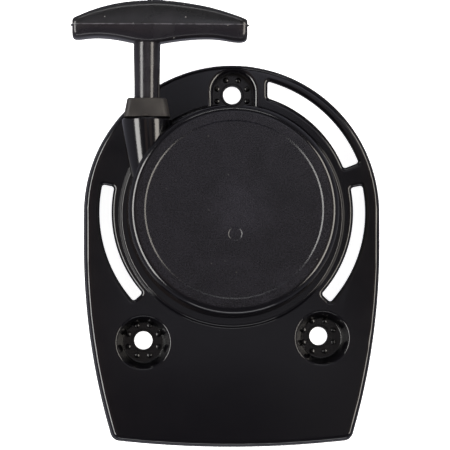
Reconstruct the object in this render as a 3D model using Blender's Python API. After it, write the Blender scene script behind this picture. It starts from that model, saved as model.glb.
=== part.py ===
"""Recoil starter: a moulded cover with its rope reel, recoil spring, pawls and T-grip.

All dimensions are in millimetres; finish() brings each piece to metres.
The part lies face up on its mounting rim. The origin is on the reel's axis, at
the rim's plane. +Z points out of the cover's face, and the rope pulls along +Y.
"""

from math import acos, atan2, cos, degrees, hypot, pi, radians, sin, sqrt

import bmesh
import bpy
from mathutils import Matrix, Vector

MM = 0.001
GAP = 0.3  # play between touching pieces
SOLVER = "MANIFOLD"  # for the pieces where EXACT leaves open edges

# cover outline
TOP_R = 67.8  # upper half circle, centred on the reel's axis
SIDE_DROP = 15.0  # straight stretch below the half circle
SIDE_ARC_R = 306.0  # long arc that narrows the sides
BOTTOM_ARC_R = 470.0
BOTTOM_Y = -107.4
CORNER_R = 4.5
FOOT_FLARE = 0.9  # how far the skirt's foot stands proud of the plate edge

# cover heights
PLATE_Z = 12.0
WALL = 2.5
EDGE_ROLL = 2.2  # radius of the plate's rounded edge
SEAT_Z = 3.0
DRUM_Z = 36.0

# drum
DRUM_BASE_R = 51.2
DRUM_LOW_R = 49.3
DRUM_HIGH_R = 47.7
DRUM_EDGE_R = 2.6
DRUM_STEP_R = 39.1
DRUM_STEP = 0.25
DRUM_BORE_R = 44.7

# centre post, its insert and the centre screw
POST_R = 7.5
POST_END_Z = 13.0
INSERT_R = 4.6
INSERT_BORE_R = 3.3
INSERT_TOP_Z = 28.0
SCREW_R = 2.9
SCREW_FACE_Z = 0.5
SCREW_HEAD_Z = 4.5
SCREW_FLANGE_Z = 5.8
SCREW_FLANGE_R = 6.8
SCREW_TIP_Z = 25.0
SCREW_FLATS = 10.0

# bolt holes: centre of the hole, and the pocket's shift from it
BOLT_R = 4.2
BOLTS = {"top": (0.0, 54.7), "left": (-41.0, -59.0), "right": (40.0, -57.0)}
POCKET_SHIFT = {"top": (0.3, 0.7), "left": (0.0, -1.0), "right": (1.3, -0.9)}
POCKET_R = 12.9
POCKET_FLOOR_R = 9.6
TOP_POCKET_R = 11.5
TOP_POCKET_FLOOR_R = 9.3
BOSS_R = 15.0
COLLAR_R = 5.3
COLLAR_H = 0.5

# vent slots: inner radius, outer radius, first and last angle
VENTS = {
    "left": (55.7, 61.2, 168.0, 222.0),
    "right": (55.7, 61.2, -42.6, 11.7),
    "upper": (55.2, 62.6, 21.5, 75.0),
}

# rope line and spout
ROPE_X = -39.4
ROPE_Z = 24.0
ROPE_R = 2.0
SPOUT_Y = 43.5
SPOUT_R = 11.5
SPOUT_ROOT_Y = 8.0
SPOUT_ROOT_R = 4.6
SPOUT_BORE_R = 8.2
SPOUT_BORE_DEPTH = 6.5

# rope guide bushing
BUSH_Y = (SPOUT_Y + GAP, 52.3)
BUSH_HALF = (10.6, 8.8)  # half width at the spout and at the grip
BUSH_SHANK = 5.5
BUSH_BORE_R = 3.2
BUSH_SEAT_R = 6.5
BUSH_SEAT_DEPTH = 2.6

# grip
STEM_R = (5.75, 6.1)  # at the bushing and at the bar
STEM_Y = (50.0, 78.0)
BAR_HALF_DEPTH = 9.3
BAR_ROLL = 3.0
GRIP_BORE_R = 2.5
GRIP_POCKET_X = -37.6
GRIP_POCKET_R = 5.9
GRIP_POCKET_Y = 86.5
CAP_Y = (93.4, 95.6)
CAP_BUMP_X = -36.2
CAP_BUMP_R = 3.2
CAP_TOP_Y = 96.4

# reel
REEL_BORE_R = 7.9
REEL_HUB_R = 11.0
REEL_HUB_Z = (13.9, 21.6)
REEL_FACE_Z = 17.5
REEL_R = 42.6
GROOVE_R = 29.5
GROOVE_Z = (20.3, 27.7)
SPRING_CUP_R = 24.6
REEL_TOP_Z = 30.0

# recoil spring
SPRING_R = (8.6, 23.6)
SPRING_TURNS = 6.5
SPRING_THICK = 0.7
SPRING_Z = (22.2, 29.3)

# spring cover
LID_Z = (30.3, 31.2)
LID_R = 30.5
LID_SCREW_R = 27.2

# pawls
PAWL_PIVOT_R = 22.0
PAWL_ANGLES = {"1": 60.0, "2": 240.0}
PAWL_Z = (12.6, 17.2)
PAWL_LENGTH = 15.5
PIN_R = 2.0
PIN_HEAD_R = 3.4
PIN_Z = (8.6, 20.4)

# ratchet guide
GUIDE_Z = (7.9, 12.6)
CAM_R = 19.0
CAM_HALF_ANGLE = 4.0
CAM_BEHIND = 33.0  # how far each cam rests clockwise of its pawl's pivot
CAM_TOP_Z = 16.0

KNOT_HOLE = (34.2, 150.0)  # radius and angle on the reel


# ---------------------------------------------------------------- shapes

def clear_scene():
    """Remove everything that the file holds."""
    for obj in list(bpy.data.objects):
        bpy.data.objects.remove(obj, do_unlink=True)


def material(name, colour, roughness, metallic=0.0):
    """A Principled BSDF with one colour."""
    mat = bpy.data.materials.new(name)
    mat.use_nodes = True
    shader = mat.node_tree.nodes["Principled BSDF"]
    shader.inputs["Base Color"].default_value = (*colour, 1.0)
    shader.inputs["Roughness"].default_value = roughness
    shader.inputs["Metallic"].default_value = metallic
    return mat


def to_object(bm, name="shape"):
    """Turn a bmesh into an object, with its faces pointing out."""
    bmesh.ops.recalc_face_normals(bm, faces=bm.faces)
    mesh = bpy.data.meshes.new(name)
    bm.to_mesh(mesh)
    bm.free()
    obj = bpy.data.objects.new(name, mesh)
    bpy.context.scene.collection.objects.link(obj)
    return obj


def loft(rings):
    """Join closed rings of equally many points, and cap both ends."""
    bm = bmesh.new()
    rows = [[bm.verts.new(p) for p in ring] for ring in rings]
    count = len(rows[0])
    for low, high in zip(rows, rows[1:]):
        for i in range(count):
            j = (i + 1) % count
            bm.faces.new((low[i], low[j], high[j], high[i]))
    bm.faces.new(rows[0])
    bm.faces.new(rows[-1])
    return to_object(bm)


def prism(outline, z0, z1):
    """A flat outline of (x, y) points, extruded from z0 to z1."""
    return loft([[(x, y, z) for x, y in outline] for z in (z0, z1)])


def turned(profile, segments, centre=(0.0, 0.0)):
    """A (radius, z) profile turned about Z. It is a ring unless it starts and ends on the axis."""
    bm = bmesh.new()
    rows = []
    for r, z in profile:
        if r == 0.0:
            rows.append([bm.verts.new((centre[0], centre[1], z))])
            continue
        angles = [2 * pi * k / segments for k in range(segments)]
        rows.append([bm.verts.new((centre[0] + r * cos(a), centre[1] + r * sin(a), z)) for a in angles])
    pairs = list(zip(rows, rows[1:]))
    if profile[0][0] > 0.0:
        pairs.append((rows[-1], rows[0]))
    for low, high in pairs:
        for i in range(segments):
            j = (i + 1) % segments
            corners = [low[i % len(low)], low[j % len(low)], high[j % len(high)], high[i % len(high)]]
            bm.faces.new(list(dict.fromkeys(corners)))
    return to_object(bm)


def rod(r, z0, z1, segments=16, centre=(0.0, 0.0)):
    """A plain round bar along Z."""
    return turned([(0.0, z0), (r, z0), (r, z1), (0.0, z1)], segments, centre)


def ring(r_in, r_out, z0, z1, segments=24, centre=(0.0, 0.0)):
    """A plain flat ring round Z."""
    return turned([(r_in, z0), (r_out, z0), (r_out, z1), (r_in, z1)], segments, centre)


def along_rope(obj):
    """Turn a shape made about Z so that its +Z runs along +Y, on the rope's line."""
    obj.data.transform(Matrix.Rotation(-pi / 2, 4, "X"))
    obj.data.transform(Matrix.Translation((ROPE_X, 0.0, ROPE_Z)))
    return obj


def tube(points, radius, sides):
    """A round wire through the points, with capped ends."""
    points = [Vector(p) for p in points]
    rings = []
    side = None
    for k, p in enumerate(points):
        ahead = points[min(k + 1, len(points) - 1)] - points[max(k - 1, 0)]
        ahead.normalize()
        if side is None:
            side = ahead.orthogonal().normalized()
        side = (side - ahead * side.dot(ahead)).normalized()
        up = ahead.cross(side)
        turns = [2 * pi * s / sides for s in range(sides)]
        rings.append([p + radius * (side * cos(t) + up * sin(t)) for t in turns])
    return loft(rings)


def combine(target, tools, operation, solver="EXACT"):
    """Boolean the tools into the target, one after the other, and drop them."""
    for tool in tools:
        step = target.modifiers.new("boolean", "BOOLEAN")
        step.operation = operation
        step.solver = solver
        step.object = tool
        shaped = target.evaluated_get(bpy.context.evaluated_depsgraph_get())
        mesh = bpy.data.meshes.new_from_object(shaped)
        target.modifiers.remove(step)
        target.data = mesh
        bpy.data.objects.remove(tool, do_unlink=True)
    return target


def finish(obj, name, mat, pivot=(0.0, 0.0, 0.0)):
    """Name the piece, bring it to metres, and put its origin on its joint's axis."""
    obj.data.transform(Matrix.Translation(-Vector(pivot)))
    obj.data.transform(Matrix.Scale(MM, 4))
    obj.location = Vector(pivot) * MM
    obj.name = name
    obj.data.name = name
    obj.data.materials.clear()
    obj.data.materials.append(mat)
    obj.data.shade_smooth()
    obj.data.set_sharp_from_angle(angle=radians(30))
    return obj


def arc(centre, r, a0, a1, steps):
    """Points on an arc, angles in degrees."""
    angles = [radians(a0 + (a1 - a0) * k / steps) for k in range(steps + 1)]
    return [(centre[0] + r * cos(a), centre[1] + r * sin(a)) for a in angles]


def circles_meet(c0, r0, c1, r1):
    """The point on the right (larger x) where two circles meet."""
    dx, dy = c1[0] - c0[0], c1[1] - c0[1]
    dist = hypot(dx, dy)
    turn = acos((r0 * r0 + dist * dist - r1 * r1) / (2 * r0 * dist))
    base = atan2(dy, dx)
    found = [(c0[0] + r0 * cos(base + s * turn), c0[1] + r0 * sin(base + s * turn)) for s in (1, -1)]
    return max(found, key=lambda p: p[0])


# ---------------------------------------------------------------- cover

def plate_outline(inset):
    """The cover's outline, moved in by inset: tangent arcs, counter-clockwise from +X."""
    side_c = (TOP_R - SIDE_ARC_R, -SIDE_DROP)
    bottom_c = (0.0, BOTTOM_Y + BOTTOM_ARC_R)
    corner = circles_meet(side_c, SIDE_ARC_R - CORNER_R, bottom_c, BOTTOM_ARC_R - CORNER_R)
    side_end = degrees(atan2(corner[1] - side_c[1], corner[0] - side_c[0]))
    bottom_end = degrees(atan2(corner[1] - bottom_c[1], corner[0] - bottom_c[0]))
    right = arc(bottom_c, BOTTOM_ARC_R - inset, -90.0, bottom_end, 4)[1:]
    right += arc(corner, CORNER_R - inset, bottom_end, side_end, 3)[1:]
    right += arc(side_c, SIDE_ARC_R - inset, side_end, 0.0, 6)[1:]
    left = [(-x, y) for x, y in reversed(right)]
    top = arc((0.0, 0.0), TOP_R - inset, 0.0, 180.0, 48)
    bottom = [(0.0, BOTTOM_Y + inset)]
    return top + left + bottom + right


def plate_loft(steps):
    """Loft the outline through (inset, z) steps."""
    return loft([[(x, y, z) for x, y in plate_outline(inset)] for inset, z in steps])


def drum_body():
    """The drum's outside: flared root, drafted wall, rolled edge, stepped top."""
    root = [(0.0, PLATE_Z - 2), (DRUM_BASE_R, PLATE_Z - 2), (DRUM_BASE_R, PLATE_Z)]
    root += [(DRUM_LOW_R + 0.6, PLATE_Z + 0.6), (DRUM_LOW_R, PLATE_Z + 2.0)]
    roll_c = (DRUM_HIGH_R - DRUM_EDGE_R, DRUM_Z - DRUM_EDGE_R)
    edge = arc(roll_c, DRUM_EDGE_R, 0.0, 90.0, 3)
    top = [(DRUM_STEP_R + DRUM_STEP, DRUM_Z), (DRUM_STEP_R, DRUM_Z - DRUM_STEP), (0.0, DRUM_Z - DRUM_STEP)]
    return turned(root + edge + top, 64)


def spout_ring(y, half):
    """An arch on the plate: round above the rope line, straight down to the plate below it."""
    over = arc((ROPE_X, ROPE_Z), half, 0.0, 180.0, 12)
    under = [(ROPE_X - half, PLATE_Z - 1.5), (ROPE_X + half, PLATE_Z - 1.5)]
    return [(x, y, z) for x, z in over + under]


def u_outline(centre, r):
    """A half circle that runs on straight down to the drum's wall."""
    legs_y = DRUM_LOW_R - 1.0
    return arc(centre, r, 0.0, 180.0, 14) + [(centre[0] - r, legs_y), (centre[0] + r, legs_y)]


def pocket_centre(key):
    return (BOLTS[key][0] + POCKET_SHIFT[key][0], BOLTS[key][1] + POCKET_SHIFT[key][1])


def pocket_cutters(key):
    """The pocket round a bolt hole, open at the plate's face."""
    centre = pocket_centre(key)
    if key == "top":
        radii = [(TOP_POCKET_FLOOR_R, SEAT_Z), (TOP_POCKET_FLOOR_R + 0.4, 9.0), (TOP_POCKET_R, PLATE_Z + 0.2)]
        pocket = loft([[(x, y, z) for x, y in u_outline(centre, r)] for r, z in radii])
        scallop = rod(TOP_POCKET_FLOOR_R, SEAT_Z + 4.0, DRUM_Z + 2.0, 28, centre)
        return [pocket, scallop]
    profile = [(0.0, SEAT_Z), (POCKET_FLOOR_R, SEAT_Z), (POCKET_FLOOR_R + 0.6, 9.0)]
    profile += [(POCKET_R - 0.6, 10.6), (POCKET_R, PLATE_Z + 0.2), (0.0, PLATE_Z + 0.2)]
    return [turned(profile, 32, centre)]


def vent_cutter(r0, r1, a0, a1):
    """An arched slot through the plate."""
    outline = arc((0.0, 0.0), r1, a0, a1, 12) + arc((0.0, 0.0), r0, a1, a0, 12)
    return prism(outline, PLATE_Z - WALL - 1.0, PLATE_Z + 1.0)


def housing_cover(mat):
    """The moulded cover: plate, skirt, drum, spout, centre post and bolt bosses."""
    roll = arc((EDGE_ROLL, PLATE_Z - EDGE_ROLL), EDGE_ROLL, 180.0, 90.0, 3)
    shell = plate_loft([(-FOOT_FLARE, 0.0), (0.0, 2.4)] + roll)
    limit = plate_loft([(-FOOT_FLARE + 0.05, -0.5), (-FOOT_FLARE + 0.05, 0.02), (0.05, 2.5), (0.05, PLATE_Z)])
    spout = loft([spout_ring(SPOUT_Y, SPOUT_R - 0.7), spout_ring(SPOUT_Y - 0.8, SPOUT_R),
                  spout_ring(SPOUT_ROOT_Y, SPOUT_ROOT_R)])
    combine(shell, [drum_body(), spout], "UNION", SOLVER)
    hollow = plate_loft([(WALL, -1.0), (WALL, PLATE_Z - WALL)])
    drum_hollow = turned([(0.0, -1.0), (DRUM_BORE_R, -1.0), (DRUM_BORE_R, DRUM_Z - WALL - 1.5),
                          (DRUM_BORE_R - 1.5, DRUM_Z - WALL), (0.0, DRUM_Z - WALL)], 64)
    combine(shell, [hollow, drum_hollow], "DIFFERENCE", SOLVER)
    bosses = [rod(BOSS_R, 0.0, PLATE_Z - 1.0, 32, pocket_centre(key)) for key in BOLTS]
    combine(bosses[0], [limit], "INTERSECT", SOLVER)
    post = rod(POST_R, POST_END_Z, DRUM_Z - 1.0, 32)
    combine(shell, bosses + [post], "UNION", SOLVER)
    cutters = [cutter for key in BOLTS for cutter in pocket_cutters(key)]
    combine(shell, cutters, "DIFFERENCE", SOLVER)
    collars = [rod(COLLAR_R, SEAT_Z - 1.0, SEAT_Z + COLLAR_H, 20, BOLTS[key]) for key in BOLTS]
    combine(shell, collars, "UNION", SOLVER)
    holes = [rod(BOLT_R, -1.0, PLATE_Z, 20, BOLTS[key]) for key in BOLTS]
    vents = [vent_cutter(*vent) for vent in VENTS.values()]
    insert_hole = rod(INSERT_R + GAP, POST_END_Z - 1.0, INSERT_TOP_Z + GAP, 20)
    bore = turned([(0.0, SPOUT_ROOT_Y - 4.0), (3.4, SPOUT_ROOT_Y - 4.0), (5.6, 34.0),
                   (5.6, SPOUT_Y - SPOUT_BORE_DEPTH), (SPOUT_BORE_R, SPOUT_Y - SPOUT_BORE_DEPTH),
                   (SPOUT_BORE_R, SPOUT_Y + 1.0), (0.0, SPOUT_Y + 1.0)], 16)
    combine(shell, holes + vents + [insert_hole, along_rope(bore)], "DIFFERENCE", SOLVER)
    return finish(shell, "housing_cover", mat)


# ---------------------------------------------------------------- rope guide, insert, centre screw

def rounded_square(half, radius, steps=3):
    """A square with round corners, centred on the axis."""
    c = half - radius
    corners = [((c, c), 0.0), ((-c, c), 90.0), ((-c, -c), 180.0), ((c, -c), 270.0)]
    return [p for centre, a in corners for p in arc(centre, radius, a, a + 90.0, steps)]


def rope_guide_bushing(mat):
    """A tapered block on the spout's mouth, with a shank in the spout and a seat for the grip's stem."""
    steps = [(BUSH_HALF[0], BUSH_Y[0]), (BUSH_HALF[1] + 0.4, BUSH_Y[1] - 1.0), (BUSH_HALF[1] - 0.4, BUSH_Y[1])]
    block = loft([[(x, y, z) for x, y in rounded_square(half, 3.0)] for half, z in steps])
    shank = rod(SPOUT_BORE_R - GAP, SPOUT_Y - BUSH_SHANK, BUSH_Y[0] + 1.0, 24)
    combine(block, [shank], "UNION")
    seat = rod(BUSH_SEAT_R, BUSH_Y[1] - BUSH_SEAT_DEPTH, BUSH_Y[1] + 1.0, 24)
    bore = rod(BUSH_BORE_R, SPOUT_Y - BUSH_SHANK - 1.0, BUSH_Y[1], 16)
    combine(block, [seat, bore], "DIFFERENCE")
    return finish(along_rope(block), "rope_guide_bushing", mat)


def post_insert(mat):
    return finish(ring(INSERT_BORE_R, INSERT_R, POST_END_Z, INSERT_TOP_Z, 20), "post_insert", mat)


def centre_screw(mat):
    """Hex flange screw that holds the ratchet guide and the reel on the post."""
    profile = [(0.0, SCREW_HEAD_Z - 1.0), (4.0, SCREW_HEAD_Z - 1.0), (4.0, SCREW_HEAD_Z)]
    profile += [(SCREW_FLANGE_R, SCREW_HEAD_Z), (SCREW_FLANGE_R, SCREW_FLANGE_Z), (SCREW_R, SCREW_FLANGE_Z)]
    profile += [(SCREW_R, SCREW_TIP_Z - 0.8), (SCREW_R - 0.8, SCREW_TIP_Z), (0.0, SCREW_TIP_Z)]
    body = turned(profile, 20)
    hex_r = SCREW_FLATS / sqrt(3)
    head = loft([[(x, y, z) for x, y in arc((0.0, 0.0), r, 0.0, 300.0, 5)]
                 for r, z in ((hex_r - 0.4, SCREW_FACE_Z), (hex_r, SCREW_FACE_Z + 0.4), (hex_r, SCREW_HEAD_Z + 0.3))])
    combine(body, [head], "UNION")
    return finish(body, "centre_screw", mat)


def centre_washer(mat):
    return finish(ring(SCREW_R + 0.4, 9.0, SCREW_FLANGE_Z + GAP, 7.6, 24), "centre_washer", mat)


# ---------------------------------------------------------------- reel and spring

def on_circle(r, angle):
    return (r * cos(radians(angle)), r * sin(radians(angle)))


def rope_reel(mat):
    """Grooved reel with a cup for the spring on top and a hub that runs on the post."""
    low, high = GROOVE_Z
    profile = [(REEL_BORE_R, REEL_HUB_Z[0]), (REEL_HUB_R, REEL_HUB_Z[0]), (REEL_HUB_R, REEL_FACE_Z)]
    profile += [(REEL_R - 0.6, REEL_FACE_Z), (REEL_R, REEL_FACE_Z + 0.6), (REEL_R, low - 0.4), (GROOVE_R, low)]
    profile += [(GROOVE_R, high), (REEL_R, high + 0.4), (REEL_R, REEL_TOP_Z - 0.6), (REEL_R - 0.6, REEL_TOP_Z)]
    profile += [(SPRING_CUP_R, REEL_TOP_Z), (SPRING_CUP_R, REEL_HUB_Z[1]), (REEL_BORE_R, REEL_HUB_Z[1])]
    reel = turned(profile, 48)
    holes = [rod(PIN_R + GAP, REEL_FACE_Z - 1.0, 20.8, 14, on_circle(PAWL_PIVOT_R, a)) for a in PAWL_ANGLES.values()]
    holes += [rod(1.5, 24.5, REEL_TOP_Z + 1.0, 10, on_circle(LID_SCREW_R, a)) for a in lid_screw_angles()]
    holes += [rod(4.5, REEL_FACE_Z - 1.0, low + 1.0, 16, on_circle(*KNOT_HOLE))]
    combine(reel, holes, "DIFFERENCE")
    return finish(reel, "rope_reel", mat)


def recoil_spring(mat):
    """Flat spiral strip from the post out to the reel's cup."""
    steps = int(SPRING_TURNS * 20)
    angles = [2 * pi * SPRING_TURNS * k / steps for k in range(steps + 1)]
    rings = []
    for k, a in enumerate(angles):
        r = SPRING_R[0] + (SPRING_R[1] - SPRING_R[0]) * k / steps
        corners = [(r, SPRING_Z[0]), (r + SPRING_THICK, SPRING_Z[0]), (r + SPRING_THICK, SPRING_Z[1]), (r, SPRING_Z[1])]
        rings.append([(q * cos(a), q * sin(a), z) for q, z in corners])
    return finish(loft(rings), "recoil_spring", mat)


def lid_screw_angles():
    return [0.0, 120.0, 240.0]


def spring_cover(mat):
    """Steel lid over the spring cup."""
    lid = ring(POST_R + 1.2, LID_R, *LID_Z, 32)
    holes = [rod(1.6, LID_Z[0] - 1.0, LID_Z[1] + 1.0, 10, on_circle(LID_SCREW_R, a)) for a in lid_screw_angles()]
    combine(lid, holes, "DIFFERENCE", SOLVER)
    return finish(lid, "spring_cover", mat)


def cover_screw(name, angle, mat):
    """Pan-head screw that holds the lid on the reel."""
    base = LID_Z[1] + GAP
    profile = [(0.0, 25.0), (1.2, 25.0), (1.2, base), (2.6, base), (2.6, base + 0.7), (1.8, base + 1.3), (0.0, base + 1.3)]
    return finish(turned(profile, 12, on_circle(LID_SCREW_R, angle)), name, mat)


def rope_winding(mat):
    """The turns of rope on the reel, as one ring with a rounded outside."""
    inner, outer = GROOVE_R + GAP, -ROPE_X - ROPE_R - GAP
    low, high = GROOVE_Z[0] + 0.4, GROOVE_Z[1] - 0.4
    profile = [(inner, low), (outer - 1.2, low), (outer, low + 1.6), (outer - 0.7, ROPE_Z)]
    profile += [(outer, high - 1.6), (outer - 1.2, high), (inner, high)]
    return finish(turned(profile, 48), "rope_winding", mat)


def bead(r, half, centre, segments=10):
    """A rounded knot, turned about Z."""
    profile = [(0.0, -half), (r * 0.7, -half * 0.8), (r, -half * 0.25), (r, half * 0.25), (r * 0.7, half * 0.8), (0.0, half)]
    knot = turned(profile, segments)
    knot.data.transform(Matrix.Translation(centre))
    return knot


def reel_knot(mat):
    x, y = on_circle(*KNOT_HOLE)
    return finish(bead(3.9, 2.0, (x, y, 17.9)), "reel_knot", mat)


# ---------------------------------------------------------------- pawls

def pawl_pivot(key):
    x, y = on_circle(PAWL_PIVOT_R, PAWL_ANGLES[key])
    return (x, y, PAWL_Z[0])


def pawl(key, mat):
    """A hooked lever that lies along the circle and swings out on its pin."""
    nose = [(4.1, -6.0), (3.4, 0.6 - PAWL_LENGTH), (0.6, -PAWL_LENGTH), (-1.2, 2.0 - PAWL_LENGTH)]
    outline = nose + arc((0.0, 0.0), 4.1, 190.0, -10.0, 10)
    lever = prism(outline, *PAWL_Z)
    combine(lever, [rod(PIN_R + GAP, PAWL_Z[0] - 1.0, PAWL_Z[1] + 1.0, 14)], "DIFFERENCE")
    lever.data.transform(Matrix.Rotation(radians(PAWL_ANGLES[key]), 4, "Z"))
    pivot = pawl_pivot(key)
    lever.data.transform(Matrix.Translation((pivot[0], pivot[1], 0.0)))
    return finish(lever, f"pawl_{key}", mat, pivot)


def pawl_pin(key, mat):
    """Headed pin, pressed into the reel, that the pawl swings on."""
    profile = [(0.0, PIN_Z[0]), (PIN_HEAD_R, PIN_Z[0]), (PIN_HEAD_R, PIN_Z[0] + 0.8)]
    profile += [(PIN_R, PIN_Z[0] + 0.8), (PIN_R, PIN_Z[1]), (0.0, PIN_Z[1])]
    return finish(turned(profile, 14, pawl_pivot(key)[:2]), f"pawl_pin_{key}", mat)


def pawl_spring(key, mat):
    """Small torsion spring round the pin, with a leg to the hub and one along the pawl."""
    x, y, _ = pawl_pivot(key)
    coil_r, wire, turns, steps = 2.9, 0.32, 2.25, 24
    low, high = PIN_Z[0] + 1.4, PAWL_Z[0] - 0.6
    last_angle = radians(PAWL_ANGLES[key])
    points = []
    for k in range(steps + 1):
        a = last_angle + 2 * pi * turns * (1 - k / steps)
        points.append(Vector((x + coil_r * cos(a), y + coil_r * sin(a), low + (high - low) * k / steps)))
    outward = Vector((cos(last_angle), sin(last_angle), 0.0))
    clockwise = Vector((outward.y, -outward.x, 0.0))
    points = [points[0] - 4.0 * outward] + points + [points[-1] + 6.0 * clockwise]
    return finish(tube(points, wire, 5), f"pawl_spring_{key}", mat)


def ratchet_guide(mat):
    """Cupped disc held by the centre screw, with two cams that push the pawls out."""
    low, disc_top, hub_r = GUIDE_Z[0], GUIDE_Z[0] + 1.8, 8.6
    profile = [(SCREW_R + 0.5, low), (14.5, low), (14.5, disc_top), (hub_r, disc_top)]
    profile += [(hub_r, GUIDE_Z[1]), (SCREW_R + 0.5, GUIDE_Z[1])]
    guide = turned(profile, 32)
    cam = arc((0.0, 0.0), CAM_R, -CAM_HALF_ANGLE, CAM_HALF_ANGLE, 3)
    cam += arc((0.0, 0.0), 13.0, CAM_HALF_ANGLE, -CAM_HALF_ANGLE, 3)
    for angle in PAWL_ANGLES.values():
        finger = prism(cam, low + 0.3, CAM_TOP_Z)
        finger.data.transform(Matrix.Rotation(radians(angle - CAM_BEHIND), 4, "Z"))
        combine(guide, [finger], "UNION")
    return finish(guide, "ratchet_guide", mat)


def friction_spring(mat):
    """Open wire ring that grips the guide's hub, with one leg up beside the reel's hub."""
    r, wire, z = 9.5, 0.55, 11.2
    loop = [(x, y, z) for x, y in arc((0.0, 0.0), r, 150.0, 450.0, 22)]
    leg = [(0.0, r + 1.0, z + 0.3), (0.0, r + 2.6, z + 1.2), (0.0, r + 2.7, REEL_FACE_Z - 1.0)]
    return finish(tube(loop + leg, wire, 6), "friction_spring", mat)


# ---------------------------------------------------------------- rope and grip

def rope_lead(mat):
    """The straight run of rope, from the winding to the knot in the grip."""
    run = rod(ROPE_R, 0.0, 88.6, 10)
    return finish(along_rope(run), "rope_lead", mat, (ROPE_X, 0.0, ROPE_Z))


def grip_knot(mat):
    knot = bead(3.7, 2.1, (0.0, 0.0, 91.0))
    return finish(along_rope(knot), "grip_knot", mat, (ROPE_X, 0.0, ROPE_Z))


def bar_outline():
    """The T-bar seen from the front: crowned top, square ends, hollowed under each arm."""
    crown_r = 98.0
    crown = arc((-34.0, 96.0 - crown_r), crown_r, 66.7, 113.0, 14)
    left_end = [(-72.9, 86.0), (-72.9, 80.4), (-71.6, 78.3), (-69.2, 77.7)]
    left_under = [(-62.5, 79.0), (-55.0, 78.2), (-49.5, 76.5), (-45.4, 75.6)]
    right_under = [(-33.4, 75.6), (-27.0, 76.9), (-18.0, 78.3), (-8.5, 78.6), (-1.0, 77.9)]
    right_end = [(2.9, 77.1), (5.0, 78.2), (5.8, 80.4), (5.8, 86.0)]
    return crown + left_end + left_under + right_under + right_end


def towards_middle(outline, inset):
    """Shrink an outline by inset, each point along its own inward normal."""
    count = len(outline)
    moved = []
    for i, (x, y) in enumerate(outline):
        x0, y0 = outline[i - 1]
        x1, y1 = outline[(i + 1) % count]
        length = hypot(x1 - x0, y1 - y0)
        moved.append((x - (y1 - y0) / length * inset, y + (x1 - x0) / length * inset))
    return moved


def grip_handle(mat):
    """T-grip: bar and stem in one moulding, bored for the rope, with a pocket for its knot."""
    outline = bar_outline()
    half = BAR_HALF_DEPTH
    steps = [(2.6, -half), (0.8, -half + 1.0), (0.0, -half + BAR_ROLL), (0.0, half - BAR_ROLL), (0.8, half - 1.0), (2.6, half)]
    bar = loft([[(x, y, ROPE_Z + z) for x, y in towards_middle(outline, inset)] for inset, z in steps])
    stem = turned([(0.0, STEM_Y[0]), (STEM_R[0], STEM_Y[0]), (STEM_R[1], STEM_Y[1]), (0.0, STEM_Y[1])], 24)
    combine(bar, [along_rope(stem)], "UNION")
    bore = along_rope(rod(GRIP_BORE_R, STEM_Y[0] - 1.0, GRIP_POCKET_Y + 1.0, 14))
    pocket = along_rope(rod(GRIP_POCKET_R, GRIP_POCKET_Y, 99.0, 24))
    pocket.data.transform(Matrix.Translation((GRIP_POCKET_X - ROPE_X, 0.0, 0.0)))
    combine(bar, [bore, pocket], "DIFFERENCE")
    return finish(bar, "grip_handle", mat, (ROPE_X, 0.0, ROPE_Z))


def grip_retainer(mat):
    """Steel washer under the knot."""
    washer = along_rope(ring(ROPE_R + 0.4, 3.8, GRIP_POCKET_Y + GAP, GRIP_POCKET_Y + 1.5, 14))
    return finish(washer, "grip_retainer", mat, (ROPE_X, 0.0, ROPE_Z))


def grip_cap(mat):
    """Round plug over the knot, with a small flat boss."""
    plug = along_rope(rod(GRIP_POCKET_R - GAP, *CAP_Y, 24))
    plug.data.transform(Matrix.Translation((GRIP_POCKET_X - ROPE_X, 0.0, 0.0)))
    bump = along_rope(rod(CAP_BUMP_R, CAP_Y[1] - 0.6, CAP_TOP_Y, 18))
    bump.data.transform(Matrix.Translation((CAP_BUMP_X - ROPE_X, 0.0, 0.0)))
    combine(plug, [bump], "UNION")
    return finish(plug, "grip_cap", mat, (ROPE_X, 0.0, ROPE_Z))


# ---------------------------------------------------------------- the part

def build():
    clear_scene()
    black_gloss = material("glossy_black_plastic", (0.012, 0.012, 0.013), 0.25)
    black_satin = material("satin_black_plastic", (0.022, 0.021, 0.023), 0.45)
    bush_grey = material("bushing_plastic", (0.045, 0.041, 0.037), 0.55)
    reel_nylon = material("reel_nylon", (0.55, 0.54, 0.50), 0.5)
    steel = material("zinc_steel", (0.62, 0.63, 0.65), 0.3, 1.0)
    spring_steel = material("spring_steel", (0.20, 0.21, 0.24), 0.35, 1.0)
    brass = material("insert_brass", (0.72, 0.55, 0.25), 0.35, 1.0)
    rope = material("rope_nylon", (0.60, 0.58, 0.54), 0.8)

    housing_cover(black_gloss)
    rope_guide_bushing(bush_grey)
    post_insert(brass)
    centre_screw(steel)
    centre_washer(steel)
    rope_reel(reel_nylon)
    recoil_spring(spring_steel)
    spring_cover(steel)
    for count, angle in enumerate(lid_screw_angles(), 1):
        cover_screw(f"cover_screw_{count}", angle, steel)
    rope_winding(rope)
    reel_knot(rope)
    for key in PAWL_ANGLES:
        pawl(key, steel)
        pawl_pin(key, steel)
        pawl_spring(key, spring_steel)
    ratchet_guide(reel_nylon)
    friction_spring(spring_steel)
    rope_lead(rope)
    grip_knot(rope)
    grip_handle(black_satin)
    grip_retainer(steel)
    grip_cap(black_satin)


build()
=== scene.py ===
"""Recoil starter: the finished look of the moulded cover, T-grip, rope and ratchet.

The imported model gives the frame: metres, +Z out of the cover's face, the rope along +Y,
and the origin on the reel's axis at the mounting rim.
"""

from math import acos, atan2, copysign, cos, degrees, hypot, pi, radians, sin, sqrt

import bmesh
import bpy
from mathutils import Matrix, Vector


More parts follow.
